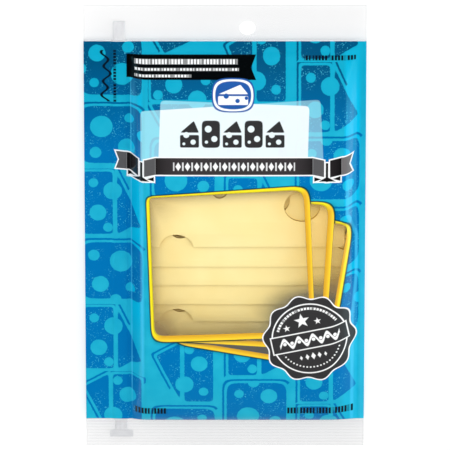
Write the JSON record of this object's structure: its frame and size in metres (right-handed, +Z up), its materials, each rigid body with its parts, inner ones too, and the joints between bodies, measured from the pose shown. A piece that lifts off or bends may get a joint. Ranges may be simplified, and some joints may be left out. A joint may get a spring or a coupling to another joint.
{
  "type": "pack of sliced cheese",
  "caption": "Flat sealed film pouch of square cheese slices with a clear window, a press-to-close zip and a hang hole, lying on its back.",
  "frame": {"origin": "under the middle of the pouch, on the surface that its back lies on", "axes": "+X across the pouch to its right edge, +Y along it to the end with the hang hole, +Z up out of the printed front"},
  "size_m": [0.14, 0.234, 0.0182],
  "materials": {
    "film": "printed glossy plastic film, blue and cyan, with clear seals and a clear window",
    "cheese": "pale yellow sliced cheese, soft waxy sheen",
    "zip": "milky white plastic zip strip"
  },
  "bodies": {
    "root": {"pouch": "film"}
  },
  "joints": []
}
